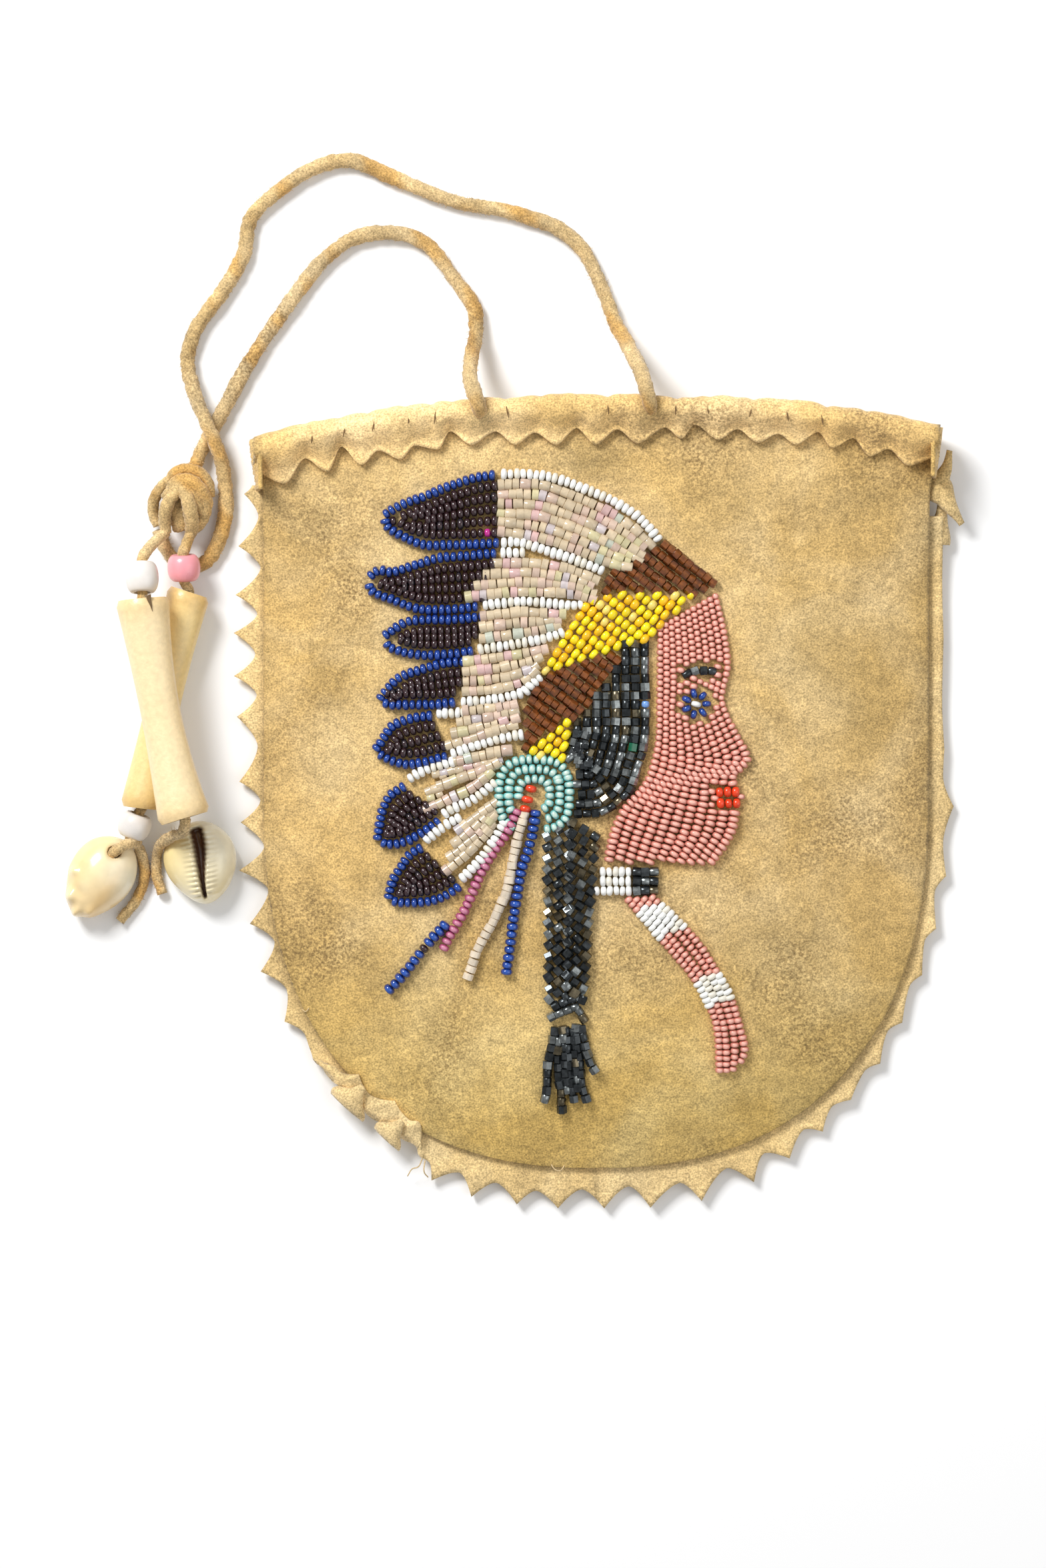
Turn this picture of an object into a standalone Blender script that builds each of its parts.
"""Beaded hide pouch with a drawstring, lying flat on its back.

Metres, +Z up. The mouth is towards +Y, the beaded front faces +Z, and the back panel rests on z = 0.
"""

import math
import random

import bmesh
import bpy
from mathutils import Vector

MM = 0.001

# Hide panels
HIDE_THICKNESS = 1.1 * MM
CLEARANCE = 0.3 * MM
SEAM_HALF_WIDTH = 71.5 * MM
SEAM_DEPTH = 78.2 * MM  # from the widest line down to the bottom of the U
SEAM_POWER = 2.35  # superellipse exponent of the U
SEAM_END_SHARE = 0.996  # the last row of the sheet stops just short of the U's point
DOME_RISE = 8.6 * MM  # how far the front swells above its seam
DOME_POWER = 3.0
MOUTH_RISE = 3.4 * MM
MOUTH_POWER = 2.2
MOUTH_BLEND_START = 44.0 * MM
MOUTH_BLEND_END = 82.0 * MM

# Casing and cuff
FOLD_TOP = 87.3 * MM
FOLD_PEAK_X = 5.0 * MM
FOLD_DROP = 7.0 * MM
FOLD_REACH = 70.0 * MM
FOLD_POWER = 2.6
ROLL_RADIUS = 2.6 * MM  # middle of the hide
ROLL_STEPS = 4
BODY_ROWS = 12
CUFF_TEETH = 17
CUFF_TIP_DEPTH = 10.2 * MM
CUFF_NOTCH_DEPTH = 7.2 * MM
CUFF_LEFT_EXTRA = 3.6 * MM
CUFF_JITTER = 0.5 * MM
CUFF_LIFT = 0.5 * MM

# Welt in the seam
WELT_THICKNESS = 1.1 * MM
WELT_INSET = 3.0 * MM
WELT_PITCH = 10.0 * MM
WELT_TOP_LEFT = 71.0 * MM
WELT_TOP_RIGHT = 58.0 * MM
WELT_TWIST_LENGTH = 15.0 * MM

# Drawstring and pendants
THONG_DIAMETER = 3.0 * MM
CASING_THONG_DIAMETER = 2.7 * MM  # squeezed by the fold round it
PENDANT_THONG_DIAMETER = 2.3 * MM
THONG_HOLE_DIAMETER = 3.9 * MM
THONG_HOLES_X = (-24.9 * MM, 11.4 * MM)
CASING_LOOP = 3.6 * MM
CASING_STEP = 14 * MM  # of each thong's route
STRAND_STEP = 9 * MM
PENDANT_STEP = 12 * MM
KNOT_SIZE = (12.8 * MM, 13.8 * MM, 8.4 * MM)
KNOT_RIB = 0.07
CROW_BEAD_DIAMETER = 7.1 * MM
CROW_BEAD_LENGTHS = (5.7 * MM, 6.6 * MM, 5.4 * MM)
PIPE_LENGTH = 47.6 * MM
PIPE_FRONT_DIAMETERS = (11.4 * MM, 9.2 * MM)
PIPE_BACK_DIAMETERS = (9.0 * MM, 8.0 * MM)
PIPE_BORE = 3.2 * MM
COWRIE_LEFT_SIZE = (13.3 * MM, 19.2 * MM, 8.7 * MM)
COWRIE_RIGHT_SIZE = (14.8 * MM, 17.9 * MM, 8.5 * MM)
COWRIE_LEFT_PLACE = ((-106.9 * MM, -15.8 * MM), math.radians(-31.8))
COWRIE_RIGHT_PLACE = ((-85.1 * MM, -12.6 * MM), math.radians(13))
COWRIE_APERTURE_WIDTH = 1.9 * MM
COWRIE_HOLE_DIAMETER = 2.5 * MM

# Beadwork
LANE_PITCH = 2.35 * MM
LANE_TUBE_DIAMETER = 1.8 * MM
LANE_EDGE_GAP = 0.2 * MM
BEAD_CREST = 1.9 * MM
BEAD_VALLEY = 1.1 * MM
BEAD_SEAT = 0.35 * MM
ROSETTE_DIAMETER = 16.6 * MM
ROSETTE_RINGS = 3
ROSETTE_CENTRE = (-13.3 * MM, 2.1 * MM)
EYE_DIAMETER = 6.2 * MM
EYE_CENTRE = (21.2 * MM, 21.4 * MM)
BRAID_ROWS = 12

ROLL_OUTER = ROLL_RADIUS + HIDE_THICKNESS / 2
SEAM_STACK = HIDE_THICKNESS + WELT_THICKNESS + 2 * CLEARANCE  # middle of the back to middle of the front

# Welt's reach past the seam, tip and notch, at shares of its length from the upper left to the upper right
WELT_REACH = (
    (0.00, 6.2 * MM, 1.6 * MM),
    (0.29, 6.4 * MM, 2.0 * MM),
    (0.34, 3.4 * MM, 2.2 * MM),
    (0.45, 4.2 * MM, 2.6 * MM),
    (0.49, 9.0 * MM, 4.4 * MM),
    (0.60, 9.3 * MM, 4.6 * MM),
    (0.68, 6.6 * MM, 4.2 * MM),
    (0.80, 5.2 * MM, 3.6 * MM),
    (0.90, 4.6 * MM, 3.8 * MM),
    (1.00, 3.3 * MM, 3.2 * MM),
)

# Routes of the thongs, in millimetres
OUTER_STRAND = (
    (11.4, 84.2, 14.7), (11.4, 84.5, 17.2), (11.0, 86.1, 18.8), (10.3, 88.8, 18.1), (9.3, 92.4, 14.6),
    (6.7, 98.7, 7.4), (4.1, 103.9, 2.8), (2.1, 109.6, 1.55), (-2.4, 119.1, 1.55), (-7.9, 124.2, 1.55),
    (-18.9, 128.0, 1.55), (-30.3, 130.1, 1.55), (-43.9, 135.4, 1.55), (-53.0, 139.0, 1.55),
    (-60.7, 137.4, 1.55), (-69.0, 132.0, 1.55), (-74.4, 126.6, 1.55), (-76.0, 118.8, 1.55),
    (-80.3, 111.0, 1.55), (-85.9, 103.3, 1.55), (-88.1, 96.4, 1.7), (-86.4, 88.3, 3.6), (-83.4, 81.2, 5.0),
    (-80.9, 74.9, 3.6), (-80.0, 68.9, 1.8), (-79.9, 62.9, 1.55), (-81.3, 56.9, 1.55), (-84.4, 52.2, 1.55),
    (-88.4, 51.6, 1.55), (-92.4, 54.4, 1.7), (-94.2, 59.1, 2.9),
)
INNER_STRAND = (
    (-24.9, 83.4, 14.4), (-24.9, 83.7, 16.9), (-25.3, 85.2, 18.5), (-26.2, 87.8, 17.8), (-27.1, 91.4, 14.2),
    (-26.7, 96.4, 7.8), (-25.8, 101.8, 2.8), (-26.4, 107.4, 1.55), (-30.9, 114.0, 1.55),
    (-36.3, 120.7, 1.55), (-43.0, 123.3, 1.55), (-51.6, 122.4, 1.55), (-58.9, 117.4, 1.55),
    (-64.4, 110.6, 1.55), (-69.9, 102.9, 1.55), (-75.8, 93.7, 1.55), (-80.9, 84.1, 1.55),
    (-84.3, 77.9, 1.8), (-86.5, 72.7, 2.8),
)
KNOT_CENTRE = (-89.4, 65.6, 4.6)
# Each pendant thong: its free points above, what is threaded on it as (centre, direction), and its tail below
PINK_BEAD = ((-88.5, 50.8, 6.8), (-0.1, 7.0, 1.2))
WHITE_BEAD_UPPER = ((-96.9, 48.4, 13.3), (-0.2, 6.5, -0.9))
WHITE_BEAD_LOWER = ((-99.3, -4.6, 4.0), (1.6, 4.4, 0.5))
PIPE_BACK = ((-92.65, 22.45, 5.0), (10.1, 46.3, 0.8))
PIPE_FRONT = ((-92.3, 20.4, 14.0), (-9.2, 47.0, 0.0))
PENDANT_A_TOP = ((-87.0, 58.5, 5.2), (-87.8, 56.2, 7.2))
PENDANT_A_TAIL = (
    (-98.7, -9.2, 2.4), (-97.7, -12.4, 1.25), (-97.5, -16.4, 1.2), (-99.2, -20.6, 1.2), (-102.8, -25.2, 1.2),
)
PENDANT_B_TOP = ((-92.4, 58.6, 5.8), (-94.8, 56.0, 8.6))
PENDANT_B_TAIL = (
    (-88.4, -6.0, 12.6), (-90.8, -6.8, 8.6), (-93.7, -8.7, 4.2), (-94.8, -11.4, 1.4), (-94.9, -15.0, 1.2),
    (-93.6, -19.4, 1.2),
)

# Beadwork guides in millimetres. Feather edges run from the upper join round the tip to the lower join.
FEATHER_EDGES = (
    ((-21.9, 70.3), (-30.8, 68.1), (-41.0, 64.2), (-45.1, 61.6), (-41.9, 57.6), (-35.6, 55.5), (-21.9, 55.7)),
    ((-22.3, 53.3), (-34.0, 52.5), (-43.6, 50.0), (-49.0, 47.6), (-44.1, 43.9), (-36.6, 41.7), (-25.6, 42.3)),
    ((-24.9, 39.8), (-37.1, 39.3), (-42.4, 38.0), (-45.4, 35.6), (-42.0, 32.7), (-36.6, 32.0), (-26.9, 32.9)),
    ((-28.6, 30.5), (-35.6, 29.5), (-42.3, 27.0), (-46.5, 22.6), (-42.0, 21.4), (-36.6, 21.2), (-30.4, 21.8)),
    ((-34.9, 18.8), (-39.4, 18.2), (-43.8, 16.2), (-47.2, 11.6), (-43.6, 9.3), (-39.4, 8.7), (-32.2, 10.5)),
    ((-40.7, 4.2), (-44.3, 1.4), (-46.2, -3.0), (-46.9, -7.3), (-43.4, -8.3), (-39.4, -7.0), (-33.6, -3.4)),
    ((-37.0, -9.3), (-40.6, -11.8), (-43.2, -15.8), (-44.6, -20.3), (-40.4, -21.1), (-35.6, -20.7), (-29.6, -17.7)),
)
FEATHER_TIP_LANES = (5, 4, 3, 3, 3, 4, 4)
QUILLS = (
    ((-21.0, 70.4), (-12.0, 70.1), (-2.1, 67.1), (6.6, 63.0), (11.0, 59.2), (13.4, 56.8)),
    ((-21.0, 55.8), (-14.0, 55.2), (-5.3, 52.4), (0.6, 50.3)),
    ((-24.6, 42.4), (-17.0, 43.2), (-10.4, 42.9), (-4.2, 42.5)),
    ((-25.9, 33.0), (-17.0, 34.2), (-8.4, 36.2)),
    ((-29.4, 21.9), (-21.0, 22.6), (-13.6, 26.1)),
    ((-31.2, 10.7), (-23.0, 13.4), (-16.6, 14.6)),
    ((-32.8, -3.0), (-28.0, -0.2), (-22.6, 3.4)),
    ((-28.9, -16.8), (-24.0, -10.9), (-20.4, -5.4)),
)
# Each web lies between two quills: the share of the upper quill and of the lower one where it starts and ends
WEB_LANES = (6, 4, 3, 4, 4, 3, 4)
WEB_ENDS = (
    (0.00, 0.93, 0.00, 0.96),
    (0.05, 0.99, 0.00, 0.80),
    (0.05, 0.80, 0.03, 0.94),
    (0.10, 0.96, 0.03, 0.94),
    (0.06, 0.82, 0.08, 0.86),
    (0.06, 0.84, 0.05, 0.90),
    (0.08, 0.88, 0.05, 0.86),
)
BAND_BROWN_UPPER = (
    ((14.6, 54.4), (25.2, 46.7)), ((9.6, 52.0), (17.4, 46.6)), ((4.6, 49.7), (8.8, 47.0)),
)
BAND_YELLOW_UPPER = (
    ((20.0, 44.8), (20.9, 44.0)), ((12.4, 44.9), (16.4, 41.4)), ((4.4, 44.7), (11.2, 39.2)),
    ((-1.6, 43.0), (8.9, 35.6)), ((-5.0, 37.8), (3.4, 32.9)), ((-8.6, 32.6), (-4.0, 30.8)),
    ((-12.0, 28.0), (-10.8, 27.5)),
)
BAND_BROWN_LOWER = (
    ((0.8, 30.4), (3.2, 28.4)), ((-6.6, 28.4), (-0.6, 24.4)), ((-11.6, 25.2), (-3.0, 19.9)),
    ((-14.4, 20.4), (-6.9, 16.9)), ((-14.8, 15.0), (-11.2, 15.4)),
)
BAND_YELLOW_LOWER = (((-13.0, 12.9), (-12.2, 11.9)), ((-10.2, 13.8), (-8.8, 11.2)), ((-7.4, 14.6), (-7.2, 11.6)))
HAIR = (
    ((-3.6, 1.0), (-5.2, 5.6), (-5.6, 10.6), (-4.6, 15.4), (-1.0, 20.2), (1.6, 24.6), (5.9, 29.0), (6.6, 32.8)),
    ((0.4, -0.6), (4.8, 4.2), (7.2, 9.4), (8.8, 14.4), (9.6, 20.0), (9.6, 25.0), (9.6, 30.0), (9.6, 33.8)),
)
BRAID = (
    ((-11.0, -5.0), (-11.2, -16.0), (-11.2, -28.0), (-10.6, -38.0)),
    ((0.2, -3.4), (-0.4, -16.0), (-1.6, -28.0), (-2.9, -38.0)),
)
BRAID_TASSEL = (
    ((-9.6, -43.6), (-9.8, -48.0), (-10.6, -55.0), (-11.2, -62.6)),
    ((-5.9, -43.2), (-5.9, -48.0), (-5.6, -56.0), (-5.8, -64.4)),
    ((-2.9, -43.6), (-2.8, -48.0), (-1.6, -55.0), (-0.2, -60.4)),
)
RIBBONS = (
    ((-20.6, -7.6), (-24.6, -16.4), (-28.6, -25.0), (-32.2, -31.0)),
    ((-17.3, -8.2), (-19.2, -18.1), (-23.0, -27.0), (-26.6, -34.6)),
    ((-14.6, -8.2), (-16.6, -18.1), (-18.0, -27.0), (-19.2, -35.4)),
)
RIBBON_LOOSE = ((-32.9, -26.6), (-36.4, -30.4), (-40.6, -35.6), (-44.6, -39.9))
NECK = (((1.4, -13.6), (6.6, -13.4), (12.0, -13.6)), ((0.8, -18.1), (6.6, -18.1), (12.4, -18.1)))
NECKTIE = (
    ((8.0, -21.6), (14.4, -27.9), (19.4, -34.0), (23.3, -39.9), (26.0, -47.0), (27.0, -57.2)),
    ((12.4, -21.0), (18.6, -26.6), (24.0, -33.0), (28.0, -40.6), (31.0, -49.0), (31.0, -56.4)),
)
# A plain profile of even thirds: hairline to brow, brow to nose base, nose base to chin
FACE_BACK = (
    (12.2, 37.6), (12.2, 32.0), (12.2, 26.0), (12.2, 20.4), (11.4, 14.6), (9.8, 9.0), (7.4, 4.2), (3.4, -0.6),
    (2.8, -5.6), (1.6, -11.6),
)
FACE_PROFILE = (
    (25.4, 44.0), (27.8, 36.4), (28.4, 29.0), (26.8, 22.6), (30.2, 15.2), (33.2, 9.2), (29.2, 6.4), (30.4, 2.6),
    (29.4, -5.8), (24.6, -11.6),
)
LIPS = (((26.2, 2.9), (29.6, 3.1)), ((26.4, -0.2), (29.2, -0.6)))
FACE_LANES = 6

COLOURS = {
    "hide": ((0.68, 0.50, 0.24), 0.85, 0.0),
    "hide_edge": ((0.76, 0.58, 0.32), 0.85, 0.0),
    "thong": ((0.60, 0.40, 0.17), 0.8, 0.0),
    "bone": ((0.86, 0.62, 0.30), 0.35, 0.0),
    "shell": ((0.88, 0.82, 0.55), 0.25, 0.0),
    "glass_pink": ((0.95, 0.42, 0.47), 0.2, 0.0),
    "glass_white": ((0.86, 0.86, 0.82), 0.25, 0.0),
    "glass_blue": ((0.01, 0.04, 0.27), 0.15, 0.0),
    "glass_plum": ((0.035, 0.015, 0.02), 0.15, 0.0),
    "glass_pale": ((0.72, 0.58, 0.42), 0.2, 0.0),
    "glass_brown": ((0.12, 0.03, 0.01), 0.15, 0.0),
    "glass_yellow": ((0.95, 0.62, 0.02), 0.25, 0.0),
    "glass_turquoise": ((0.16, 0.52, 0.52), 0.2, 0.0),
    "glass_rose": ((0.55, 0.12, 0.13), 0.25, 0.0),
    "glass_gunmetal": ((0.03, 0.035, 0.045), 0.2, 0.9),
    "glass_red": ((0.75, 0.10, 0.02), 0.2, 0.0),
}


def clear_scene():
    for obj in list(bpy.data.objects):
        bpy.data.objects.remove(obj, do_unlink=True)


def collection(name):
    made = bpy.data.collections.new(name)
    bpy.context.scene.collection.children.link(made)
    return made


def materials():
    made = {}
    for name, (colour, roughness, metallic) in COLOURS.items():
        material = bpy.data.materials.new(name)
        material.use_nodes = True
        shader = material.node_tree.nodes["Principled BSDF"]
        shader.inputs["Base Color"].default_value = (*colour, 1.0)
        shader.inputs["Roughness"].default_value = roughness
        shader.inputs["Metallic"].default_value = metallic
        made[name] = material
    return made


def lerp(a, b, t):
    return a + (b - a) * t


def ease(t):
    t = min(1.0, max(0.0, t))
    return t * t * (3 - 2 * t)


def metres(points):
    """Points given in millimetres, as vectors in metres."""
    return [Vector(point) * MM for point in points]


def smooth_route(points, step):
    """Points read from a smooth curve through a route's points, about one step apart."""
    ends = [2 * points[0] - points[1], *points, 2 * points[-1] - points[-2]]
    tangents = [
        ((b - a).normalized() + (c - b).normalized()).normalized() for a, b, c in zip(ends, ends[1:], ends[2:])
    ]
    route = [points[0].copy()]
    lengths = [(b - a).length for a, b in zip(ends, ends[1:])]
    pulls = [tangent * min(pair) for tangent, pair in zip(tangents, zip(lengths, lengths[1:]))]
    for a, b, leave, arrive in zip(points, points[1:], pulls, pulls[1:]):
        parts = max(1, round((b - a).length / step))
        for i in range(1, parts + 1):
            t = i / parts
            route.append(
                a * (2 * t**3 - 3 * t**2 + 1)
                + b * (3 * t**2 - 2 * t**3)
                + leave * (t**3 - 2 * t**2 + t)
                + arrive * (t**3 - t**2)
            )
    return route


def at_share(points, share):
    """The point at a share of a polyline's length."""
    lengths = [(b - a).length for a, b in zip(points, points[1:])]
    left = share * sum(lengths)
    for a, b, length in zip(points, points[1:], lengths):
        if left <= length:
            return a.lerp(b, left / length)
        left -= length
    return points[-1].copy()


def stretch(points, start, end, count):
    """Evenly spaced points of a polyline between two shares of its length."""
    return [at_share(points, lerp(start, end, i / (count - 1))) for i in range(count)]


def offset(points, distance):
    """A polyline in XY moved sideways, positive to its left."""
    moved = []
    for i, point in enumerate(points):
        ahead = points[min(i + 1, len(points) - 1)] - points[max(i - 1, 0)]
        ahead.normalize()
        moved.append(point + Vector((-ahead.y, ahead.x)) * distance)
    return moved


def seam_half_width(y):
    if y >= 0:
        return SEAM_HALF_WIDTH
    return SEAM_HALF_WIDTH * (1 - min(1.0, -y / SEAM_DEPTH) ** SEAM_POWER) ** (1 / SEAM_POWER)


def fold_line(x):
    return FOLD_TOP - FOLD_DROP * (abs(x - FOLD_PEAK_X) / FOLD_REACH) ** FOLD_POWER


def roll_start(x):
    return fold_line(x) - ROLL_OUTER


def mouth_share(y):
    return ease((y - MOUTH_BLEND_START) / (MOUTH_BLEND_END - MOUTH_BLEND_START))


def back_height(y):
    """Middle of the back sheet, which climbs over its own turned-under cuff near the mouth."""
    return HIDE_THICKNESS / 2 + 2 * ROLL_RADIUS * mouth_share(y)


def front_height(x, y):
    """Middle of the front sheet."""
    across = abs(x) / SEAM_HALF_WIDTH
    down = max(0.0, -y) / SEAM_DEPTH
    out = min(1.0, (across**SEAM_POWER + down**SEAM_POWER) ** (1 / SEAM_POWER))
    dome = DOME_RISE * (1 - out**DOME_POWER)
    mouth = MOUTH_RISE * (1 - min(1.0, across) ** MOUTH_POWER)
    return back_height(y) + SEAM_STACK + lerp(dome, mouth, mouth_share(y))


def hide_top(x, y):
    return front_height(x, y) + HIDE_THICKNESS / 2


def finish(obj, material, group, sharp_angle=40):
    obj.data.materials.append(material)
    group.objects.link(obj)
    if obj.type == "MESH":
        obj.data.shade_smooth()
        obj.data.set_sharp_from_angle(angle=math.radians(sharp_angle))
    return obj


def mesh_object(name, bm):
    bmesh.ops.recalc_face_normals(bm, faces=bm.faces[:])
    mesh = bpy.data.meshes.new(name)
    bm.to_mesh(mesh)
    bm.free()
    return bpy.data.objects.new(name, mesh)


def grid_indices(vert, columns, rows):
    return round((vert.co.x + 0.5) * columns), round((vert.co.y + 0.5) * rows)


def sheet(name, columns, rows, place):
    """An open grid whose vertices go where place(column, row) says, thickened like hide."""
    bm = bmesh.new()
    bmesh.ops.create_grid(bm, x_segments=columns, y_segments=rows, size=0.5)
    for vert in bm.verts:
        vert.co = place(*grid_indices(vert, columns, rows))
    obj = mesh_object(name, bm)
    solidify = obj.modifiers.new("hide", "SOLIDIFY")
    solidify.thickness = HIDE_THICKNESS
    solidify.offset = 0
    return obj


def block(name, columns, rows, place):
    """A closed solid between two mapped grids: place(column, row) gives its bottom and top point."""
    bm = bmesh.new()
    bmesh.ops.create_grid(bm, x_segments=columns, y_segments=rows, size=0.5)
    cells = {vert: grid_indices(vert, columns, rows) for vert in bm.verts}
    raised = bmesh.ops.extrude_face_region(bm, geom=bm.faces[:])["geom"]
    tops = [item for item in raised if isinstance(item, bmesh.types.BMVert)]
    placed = [(vert, place(*cells[vert])[0]) for vert in cells]
    placed += [(vert, place(*grid_indices(vert, columns, rows))[1]) for vert in tops]
    for vert, point in placed:
        vert.co = point
    return mesh_object(name, bm)


def tube(name, points, diameter, sides_resolution):
    curve = bpy.data.curves.new(name, "CURVE")
    curve.dimensions = "3D"
    curve.bevel_depth = diameter / 2
    curve.bevel_resolution = sides_resolution
    curve.use_fill_caps = True
    spline = curve.splines.new("POLY")
    spline.points.add(len(points) - 1)
    for target, point in zip(spline.points, points):
        target.co = (*point, 1.0)
    return bpy.data.objects.new(name, curve)


def turned(name, profile, steps, closed=True):
    """A profile of (radius, height) points turned about Z; one left open starts and ends on the axis."""
    mesh = bpy.data.meshes.new(name)
    count = len(profile)
    edges = [(i, (i + 1) % count) for i in range(count if closed else count - 1)]
    mesh.from_pydata([(radius, 0, height) for radius, height in profile], edges, [])
    obj = bpy.data.objects.new(name, mesh)
    screw = obj.modifiers.new("turn", "SCREW")
    screw.steps = screw.render_steps = steps
    screw.use_merge_vertices = True
    screw.merge_threshold = 0.00001
    screw.use_normal_calculate = True
    return obj


def aim(obj, centre, direction):
    obj.location = centre
    obj.rotation_mode = "QUATERNION"
    obj.rotation_quaternion = direction.to_track_quat("Z", "Y")


def cutter(name, obj, cutters):
    obj.name = name
    obj.hide_render = True
    obj.display_type = "WIRE"
    cutters.objects.link(obj)
    return obj


def cut(obj, tool):
    boolean = obj.modifiers.new(tool.name, "BOOLEAN")
    boolean.operation = "DIFFERENCE"
    boolean.solver = "EXACT"
    boolean.object = tool


def rod(name, radius, depth, centre, direction, cutters):
    bm = bmesh.new()
    bmesh.ops.create_cone(bm, cap_ends=True, segments=12, radius1=radius, radius2=radius, depth=depth)
    obj = cutter(name, mesh_object(name, bm), cutters)
    aim(obj, centre, direction)
    return obj


def cuff_edges():
    """Depth of the cuff's edge below the fold at each column: notch, tip, notch and so on."""
    chance = random.Random(11)
    depths = []
    for column in range(2 * CUFF_TEETH + 1):
        across = lerp(-1, 1, column / (2 * CUFF_TEETH))
        depth = CUFF_TIP_DEPTH if column % 2 else CUFF_NOTCH_DEPTH
        depth += CUFF_LEFT_EXTRA * ease((-across - 0.35) / 0.65)
        depths.append(depth + chance.uniform(-CUFF_JITTER, CUFF_JITTER))
    return depths


def body_point(across, share):
    """x and y of a panel sheet at a share of its height, 0 at the bottom of the U and 1 where the roll starts."""
    bottom = -SEAM_DEPTH * SEAM_END_SHARE
    top = roll_start(across * SEAM_HALF_WIDTH)
    y = lerp(bottom, top, (1 - math.cos(math.pi * share)) / 2)
    return across * seam_half_width(y), y


def seam_height(y):
    """Middle of the back sheet at the side seam, along the straight runs between its rows."""
    rows = [body_point(1, row / BODY_ROWS)[1] for row in range(BODY_ROWS + 1)]
    for low, high in zip(rows, rows[1:]):
        if y <= high:
            return lerp(back_height(low), back_height(high), max(0.0, y - low) / (high - low))
    return back_height(y)


def front_panel(cuff_rows=2):
    depths = cuff_edges()
    columns = 2 * CUFF_TEETH

    def place(column, row):
        across = lerp(-1, 1, column / columns)
        if row <= BODY_ROWS:
            x, y = body_point(across, row / BODY_ROWS)
            return Vector((x, y, front_height(x, y)))
        x = across * SEAM_HALF_WIDTH
        start = roll_start(x)
        base = front_height(x, start)
        if row <= BODY_ROWS + ROLL_STEPS:
            angle = math.pi * (row - BODY_ROWS) / ROLL_STEPS
            return Vector((x, start + ROLL_RADIUS * math.sin(angle), base + ROLL_RADIUS * (1 - math.cos(angle))))
        share = (row - BODY_ROWS - ROLL_STEPS) / cuff_rows
        y = lerp(start, fold_line(x) - depths[column], share)
        lift = lerp(2 * ROLL_RADIUS, HIDE_THICKNESS + CUFF_LIFT, ease(share))
        return Vector((x, y, front_height(x, y) + lift))

    return sheet("front_panel", columns, BODY_ROWS + ROLL_STEPS + cuff_rows, place)


def back_panel():
    depths = cuff_edges()
    columns = 2 * CUFF_TEETH

    def place(column, row):
        across = lerp(-1, 1, column / columns)
        if row <= BODY_ROWS:
            x, y = body_point(across, row / BODY_ROWS)
            return Vector((x, y, back_height(y)))
        x = across * SEAM_HALF_WIDTH
        start = roll_start(x)
        centre = HIDE_THICKNESS / 2 + ROLL_RADIUS
        if row <= BODY_ROWS + ROLL_STEPS:
            angle = math.pi * (row - BODY_ROWS) / ROLL_STEPS
            return Vector((x, start + ROLL_RADIUS * math.sin(angle), centre + ROLL_RADIUS * math.cos(angle)))
        return Vector((x, fold_line(x) - depths[column], HIDE_THICKNESS / 2))

    return sheet("back_panel", columns, BODY_ROWS + ROLL_STEPS + 1, place)


def seam_line(count=240):
    """The seam from the upper left round the bottom to the upper right, as points in XY."""
    points = [Vector((-SEAM_HALF_WIDTH, WELT_TOP_LEFT)), Vector((-SEAM_HALF_WIDTH, 0))]
    for i in range(1, count):
        angle = math.pi * i / count
        x = -SEAM_HALF_WIDTH * math.copysign(abs(math.cos(angle)) ** (2 / SEAM_POWER), math.cos(angle))
        points.append(Vector((x, -SEAM_DEPTH * math.sin(angle) ** (2 / SEAM_POWER))))
    points += [Vector((SEAM_HALF_WIDTH, 0)), Vector((SEAM_HALF_WIDTH, WELT_TOP_RIGHT + WELT_TWIST_LENGTH))]
    return points


def welt_reach(share, tip):
    for (a, tip_a, notch_a), (b, tip_b, notch_b) in zip(WELT_REACH, WELT_REACH[1:]):
        if share <= b:
            t = (share - a) / (b - a)
            return lerp(tip_a, tip_b, t) if tip else lerp(notch_a, notch_b, t)
    return WELT_REACH[-1][1]


def welt_strip():
    line = seam_line()
    length = sum((b - a).length for a, b in zip(line, line[1:]))
    columns = 2 * round(length / WELT_PITCH)

    def place(column, row):
        share = column / columns
        point = at_share(line, share)
        ahead = at_share(line, min(1.0, share + 0.004)) - at_share(line, max(0.0, share - 0.004))
        out = Vector((ahead.y, -ahead.x)).normalized() * -1
        if out.dot(point - Vector((0, 0.3 * SEAM_DEPTH))) < 0:
            out = -out
        reach = (-WELT_INSET, 0.0, welt_reach(share, column % 2))[row]
        height = seam_height(point.y) + SEAM_STACK / 2
        turn = ease((share * length - length + WELT_TWIST_LENGTH) / WELT_TWIST_LENGTH)
        side = out * (reach if reach < 0 else reach * math.cos(turn * math.radians(80)))
        side += out * turn * 2.2 * MM
        lift = turn * max(0.0, reach) * math.sin(math.radians(80))
        if row == 0:
            side += out * turn * (WELT_INSET - 1.0 * MM)
        return Vector((point.x + side.x, point.y + side.y, height + lift))

    obj = sheet("welt_strip", columns, 2, place)
    obj.modifiers["hide"].thickness = WELT_THICKNESS
    return obj


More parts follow.
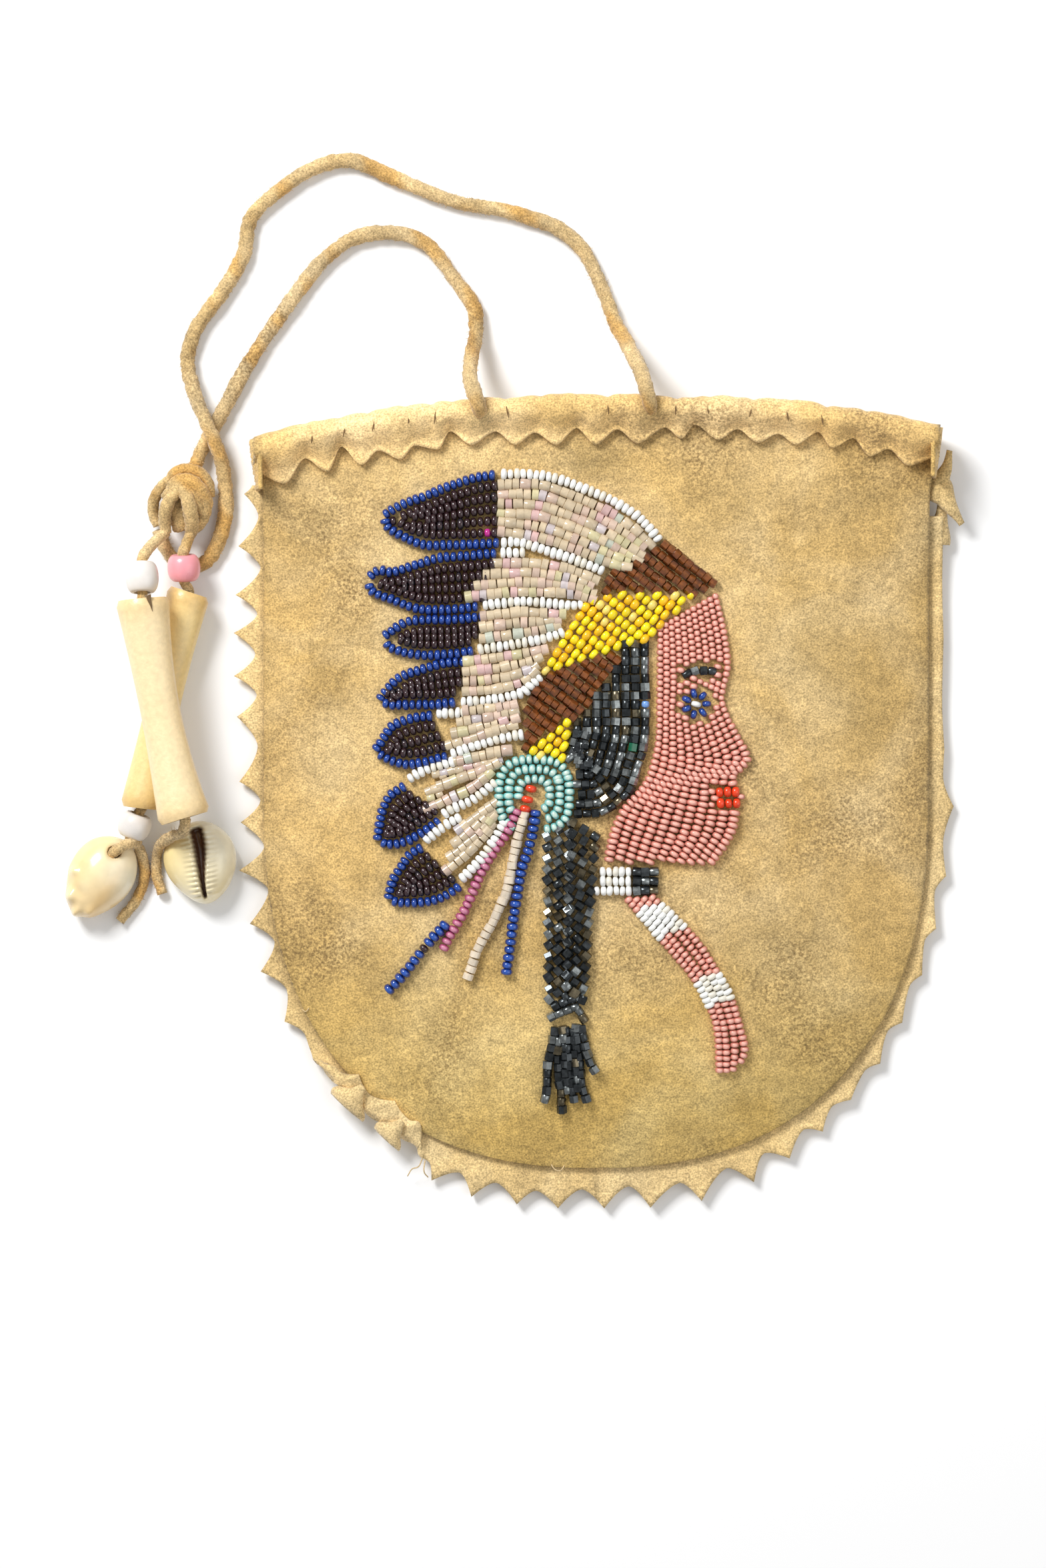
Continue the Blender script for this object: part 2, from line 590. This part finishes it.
def casing_route():
    """From the left hole along the front roll, round the side, through the back roll and up to the right hole."""
    start_x, end_x = THONG_HOLES_X
    side = SEAM_HALF_WIDTH
    gap = THONG_DIAMETER / 2 + CLEARANCE + 0.1 * MM
    low = HIDE_THICKNESS / 2 + ROLL_RADIUS
    points = []

    def front(x):
        y = roll_start(x)
        return Vector((x, y, front_height(x, y) + ROLL_RADIUS))

    for i in range(5):
        points.append(front(lerp(start_x - gap, -side, i / 4)))
    for sign in (-1, 1):
        y = roll_start(sign * side)
        high = front(sign * side).z
        loop = [
            Vector((sign * (side + 0.8 * CASING_LOOP), y, lerp(low, high, 0.84))),
            Vector((sign * (side + CASING_LOOP), y, lerp(low, high, 0.5))),
            Vector((sign * (side + 0.8 * CASING_LOOP), y, lerp(low, high, 0.16))),
        ]
        if sign < 0:
            points += loop
            for i in range(11):
                x = lerp(-side, side, i / 10)
                points.append(Vector((x, roll_start(x), low)))
        else:
            points += loop[::-1]
    for i in range(5):
        points.append(front(lerp(side, end_x + gap, i / 4)))
    return points


def thong_hole(obj, x, cutters, name):
    y = roll_start(x)
    centre = front_height(x, y) + ROLL_RADIUS
    reach = ROLL_OUTER + 2 * MM
    tool = rod(
        name, THONG_HOLE_DIAMETER / 2, reach, Vector((x, y, centre + reach / 2 + 0.6 * MM)), Vector((0, 0, 1)), cutters
    )
    cut(obj, tool)


def knot():
    """The tied knot as one rounded lump, with the three turns of thong as soft ribs."""
    bm = bmesh.new()
    bmesh.ops.create_uvsphere(bm, u_segments=12, v_segments=8, radius=1.0)
    width, length, height = (size / 2 for size in KNOT_SIZE)
    for vert in bm.verts:
        turn = math.atan2(vert.co.z, vert.co.x) + 1.2 * vert.co.y
        rib = 1 + KNOT_RIB * math.cos(3 * turn)
        vert.co = Vector((vert.co.x * width * rib, vert.co.y * length, vert.co.z * height * rib))
    obj = mesh_object("thong_knot", bm)
    obj.location = Vector(KNOT_CENTRE) * MM
    return obj


def crow_bead(name, length, place):
    hole = PENDANT_THONG_DIAMETER / 2 + CLEARANCE
    outer = CROW_BEAD_DIAMETER / 2
    half = length / 2
    profile = (
        (hole, half), (hole, -half), (outer * 0.72, -half), (outer * 0.95, -half * 0.62), (outer, 0),
        (outer * 0.95, half * 0.62), (outer * 0.72, half),
    )
    obj = turned(name, profile, 14)
    aim(obj, Vector(place[0]) * MM, Vector(place[1]))
    return obj


def bone_pipe(name, diameters, place):
    end_radius, waist_radius = diameters[0] / 2, diameters[1] / 2
    half = PIPE_LENGTH / 2
    bore = PIPE_BORE / 2
    profile = [(bore, half), (bore, -half)]
    for i in range(7):
        t = lerp(-1, 1, i / 6)
        radius = lerp(waist_radius, end_radius, abs(t) ** 1.8)
        if i in (0, 6):
            radius -= 0.6 * MM
        profile.append((radius, half * t))
    obj = turned(name, profile, 14)
    aim(obj, Vector(place[0]) * MM, Vector(place[1]))
    return obj


def cowrie(name, size, place, aperture_up, cutters):
    """An egg-shaped shell with a flat base, a drilled hole or the toothed slot on its upper side."""
    bm = bmesh.new()
    bmesh.ops.create_uvsphere(bm, u_segments=14, v_segments=9, radius=1.0)
    for vert in bm.verts:
        x, y, z = vert.co
        widen = 1 + 0.16 * y - 0.1 * y * y
        z = z if z > 0 else z * 0.55
        vert.co = Vector((x * widen * size[0] / 2, y * size[1] / 2, z * size[2] / 1.55))
    obj = mesh_object(name, bm)
    centre, turn = place
    middle = Vector((*centre, 0.55 * size[2] / 1.55 + 0.02 * MM))
    obj.location = middle
    obj.rotation_euler = (0, 0, turn)
    if aperture_up:
        slot_bm = bmesh.new()
        bmesh.ops.create_uvsphere(slot_bm, u_segments=10, v_segments=6, radius=1.0)
        for vert in slot_bm.verts:
            vert.co = Vector(
                (vert.co.x * COWRIE_APERTURE_WIDTH / 2, vert.co.y * 0.42 * size[1], vert.co.z * 0.3 * size[2])
            )
        slot = cutter(name + "_slot", mesh_object(name + "_slot", slot_bm), cutters)
        slot.location = middle + Vector((0, 0, size[2] * 0.62))
        slot.rotation_euler = (0, 0, turn)
        cut(obj, slot)
    else:
        hole = middle + Vector((math.sin(-turn), math.cos(turn), 0)) * 0.34 * size[1]
        cut(obj, rod(name + "_drill", COWRIE_HOLE_DIAMETER / 2, 4 * size[2], hole, Vector((0, 0, 1)), cutters))
    return obj


def bead_seat(x, y, extra):
    return Vector((x, y, hide_top(x, y) + BEAD_SEAT + extra))


def lane(name, guide, step=6.0 * MM):
    """One row of beads as a tube that lies on the hide."""
    flat = smooth_route([Vector((p.x, p.y, 0)) for p in guide], step)
    points = [bead_seat(p.x, p.y, LANE_TUBE_DIAMETER / 2) for p in flat]
    return tube(name, points, LANE_TUBE_DIAMETER, 1)


def field(name, guides, lanes, rows, ridges_along=True):
    """A patch of bead rows between guide lanes: ridges run along the guides, one to a lane."""
    columns = 2 * lanes

    def place(column, row):
        across = column / columns * (len(guides) - 1)
        first = min(int(across), len(guides) - 2)
        a = at_share(guides[first], row / rows)
        b = at_share(guides[first + 1], row / rows)
        spot = a.lerp(b, across - first)
        crest = column % 2 if ridges_along else row % 2
        top = BEAD_CREST if crest else BEAD_VALLEY
        return bead_seat(spot.x, spot.y, 0), bead_seat(spot.x, spot.y, top)

    return block(name, columns, rows, place)


def feather_tip(index):
    """The dark end of a feather, inside its blue edge."""
    edge = metres(FEATHER_EDGES[index])
    inset = LANE_PITCH / 2 + LANE_EDGE_GAP
    upper = offset(edge[:4], inset)[::-1]
    lower = offset(edge[3:], inset)
    guides = [stretch(upper, 0.17, 0.97, 4), stretch(lower, 0.17, 0.97, 4)]
    return field(f"feather_{index + 1}_tip", guides, FEATHER_TIP_LANES[index], 2)


def feather_web(index):
    """The pale part of a feather, between its quill and the next."""
    upper, lower = metres(QUILLS[index]), metres(QUILLS[index + 1])
    upper_start, upper_end, lower_start, lower_end = WEB_ENDS[index]
    inset = LANE_PITCH / 2 + LANE_EDGE_GAP
    guides = [
        offset(stretch(upper, upper_start, upper_end, 5), -inset),
        offset(stretch(lower, lower_start, lower_end, 5), inset),
    ]
    return field(f"feather_{index + 1}_web", guides, WEB_LANES[index], 3)


def braid():
    """Herringbone of bead strokes that meet on the middle line."""
    left, right = metres(BRAID[0]), metres(BRAID[1])
    rows = 2 * BRAID_ROWS

    def place(column, row):
        across = column / 4
        drop = abs(across - 0.5) * 2 * 4.0 * MM
        share = row / rows
        spot = at_share(left, share).lerp(at_share(right, share), across) - Vector((0, drop))
        top = BEAD_CREST if row % 2 else BEAD_VALLEY
        return bead_seat(spot.x, spot.y, 0), bead_seat(spot.x, spot.y, top)

    return block("braid", 4, rows, place)


def ringed_disc(name, diameter, rings, centre):
    """Rings of beads round a middle bead, as a turned disc that follows the hide."""
    base = -0.2 * MM
    radius = diameter / 2
    profile = [(0, base), (radius, base)]
    for i in range(2 * rings + 1):
        top = BEAD_CREST if i % 2 else BEAD_VALLEY
        profile.append((radius * (1 - i / (2 * rings + 1)), top))
    profile.append((0, BEAD_CREST))
    obj = turned(name, profile, 14, closed=False)
    obj.location = bead_seat(*centre, 0.35 * MM)
    return obj


def face(cutters):
    obj = field("face", [metres(FACE_BACK), metres(FACE_PROFILE)], FACE_LANES, 9)
    seat = bead_seat(*EYE_CENTRE, 0)
    socket = EYE_DIAMETER / 2 + CLEARANCE
    cut(obj, rod("eye_socket", socket, 12 * MM, seat, Vector((0, 0, 1)), cutters))
    bm = bmesh.new()
    bmesh.ops.create_cube(bm, size=1.0)
    corners = [point for guide in flat_guides(LIPS) for point in guide]
    low_x = min(p.x for p in corners) - 2 * CLEARANCE
    low_y = min(p.y for p in corners) - 2 * CLEARANCE
    high_y = max(p.y for p in corners) + 2 * CLEARANCE
    size = Vector((12 * MM, high_y - low_y, 12 * MM))
    for vert in bm.verts:
        vert.co = Vector((vert.co.x * size.x, vert.co.y * size.y, vert.co.z * size.z))
    pocket = cutter("lips_pocket", mesh_object("lips_pocket", bm), cutters)
    pocket.location = Vector((low_x + size.x / 2, (low_y + high_y) / 2, seat.z))
    cut(obj, pocket)
    return obj


def flat_guides(guides):
    return [metres(guide) for guide in guides]


def add_hide(group, cutters, looks):
    front = finish(front_panel(), looks["hide"], group)
    for index, x in enumerate(THONG_HOLES_X):
        thong_hole(front, x, cutters, f"thong_hole_{index + 1}")
    finish(back_panel(), looks["hide"], group)
    finish(welt_strip(), looks["hide_edge"], group)


def threaded(place, length):
    """The thong's points just above and below a bead or pipe, so that it lies straight in the bore."""
    centre, direction = Vector(place[0]) * MM, Vector(place[1]).normalized()
    reach = direction * (length / 2 + CLEARANCE)
    return [centre + reach, centre - reach]


def pendant_route(top, threads, tail):
    route = metres(top)
    for place, length in threads:
        route += threaded(place, length)
    return route + metres(tail)


def add_thongs(group, looks):
    casing = tube("casing_thong", smooth_route(casing_route(), CASING_STEP), CASING_THONG_DIAMETER, 1)
    outer = tube("thong_outer_strand", smooth_route(metres(OUTER_STRAND), STRAND_STEP), THONG_DIAMETER, 2)
    inner = tube("thong_inner_strand", smooth_route(metres(INNER_STRAND), STRAND_STEP), THONG_DIAMETER, 2)
    pink, white_upper, white_lower = CROW_BEAD_LENGTHS
    route_a = pendant_route(
        PENDANT_A_TOP, ((PINK_BEAD, pink), (PIPE_BACK, PIPE_LENGTH), (WHITE_BEAD_LOWER, white_lower)), PENDANT_A_TAIL
    )
    route_b = pendant_route(
        PENDANT_B_TOP, ((WHITE_BEAD_UPPER, white_upper), (PIPE_FRONT, PIPE_LENGTH)), PENDANT_B_TAIL
    )
    pendant_a = tube("pendant_thong_a", smooth_route(route_a, PENDANT_STEP), PENDANT_THONG_DIAMETER, 2)
    pendant_b = tube("pendant_thong_b", smooth_route(route_b, PENDANT_STEP), PENDANT_THONG_DIAMETER, 2)
    for obj in (casing, outer, inner, pendant_a, pendant_b, knot()):
        finish(obj, looks["thong"], group)


def add_pendants(group, cutters, looks):
    beads = (
        ("crow_bead_pink", "glass_pink", CROW_BEAD_LENGTHS[0], PINK_BEAD),
        ("crow_bead_white_upper", "glass_white", CROW_BEAD_LENGTHS[1], WHITE_BEAD_UPPER),
        ("crow_bead_white_lower", "glass_white", CROW_BEAD_LENGTHS[2], WHITE_BEAD_LOWER),
    )
    for name, look, length, place in beads:
        finish(crow_bead(name, length, place), looks[look], group)
    finish(bone_pipe("bone_pipe_front", PIPE_FRONT_DIAMETERS, PIPE_FRONT), looks["bone"], group)
    finish(bone_pipe("bone_pipe_back", PIPE_BACK_DIAMETERS, PIPE_BACK), looks["bone"], group)
    left = cowrie("cowrie_left", COWRIE_LEFT_SIZE, COWRIE_LEFT_PLACE, False, cutters)
    right = cowrie("cowrie_right", COWRIE_RIGHT_SIZE, COWRIE_RIGHT_PLACE, True, cutters)
    finish(left, looks["shell"], group)
    finish(right, looks["shell"], group)


def add_beadwork(group, cutters, looks):
    for index in range(len(FEATHER_EDGES)):
        edge = lane(f"feather_{index + 1}_edge", metres(FEATHER_EDGES[index]))
        finish(edge, looks["glass_blue"], group)
        finish(feather_tip(index), looks["glass_plum"], group)
        finish(feather_web(index), looks["glass_pale"], group)
    for index, guide in enumerate(QUILLS):
        finish(lane(f"quill_{index}", metres(guide)), looks["glass_white"], group)
    patches = (
        ("band_brown_upper", BAND_BROWN_UPPER, 6, 2, "glass_brown"),
        ("band_yellow_upper", BAND_YELLOW_UPPER, 12, 2, "glass_yellow"),
        ("band_brown_lower", BAND_BROWN_LOWER, 8, 2, "glass_brown"),
        ("band_yellow_lower", BAND_YELLOW_LOWER, 3, 2, "glass_yellow"),
        ("hair", HAIR, 5, 6, "glass_gunmetal"),
        ("braid_tassel", BRAID_TASSEL, 4, 3, "glass_gunmetal"),
        ("ribbon_streamers", RIBBONS, 3, 5, "glass_rose"),
        ("neck", NECK, 3, 2, "glass_white"),
        ("necktie", NECKTIE, 2, 7, "glass_rose"),
        ("lips", LIPS, 2, 1, "glass_red"),
    )
    for name, guides, lanes, rows, look in patches:
        finish(field(name, flat_guides(guides), lanes, rows), looks[look], group)
    finish(braid(), looks["glass_gunmetal"], group)
    finish(lane("ribbon_loose", metres(RIBBON_LOOSE)), looks["glass_blue"], group)
    finish(ringed_disc("rosette", ROSETTE_DIAMETER, ROSETTE_RINGS, ROSETTE_CENTRE), looks["glass_turquoise"], group)
    finish(face(cutters), looks["glass_rose"], group)
    finish(ringed_disc("eye", EYE_DIAMETER, 1, EYE_CENTRE), looks["glass_blue"], group)


def main():
    clear_scene()
    group = collection("beaded_pouch")
    cutters = collection("cutters")
    looks = materials()
    add_hide(group, cutters, looks)
    add_thongs(group, looks)
    add_pendants(group, cutters, looks)
    add_beadwork(group, cutters, looks)


main()
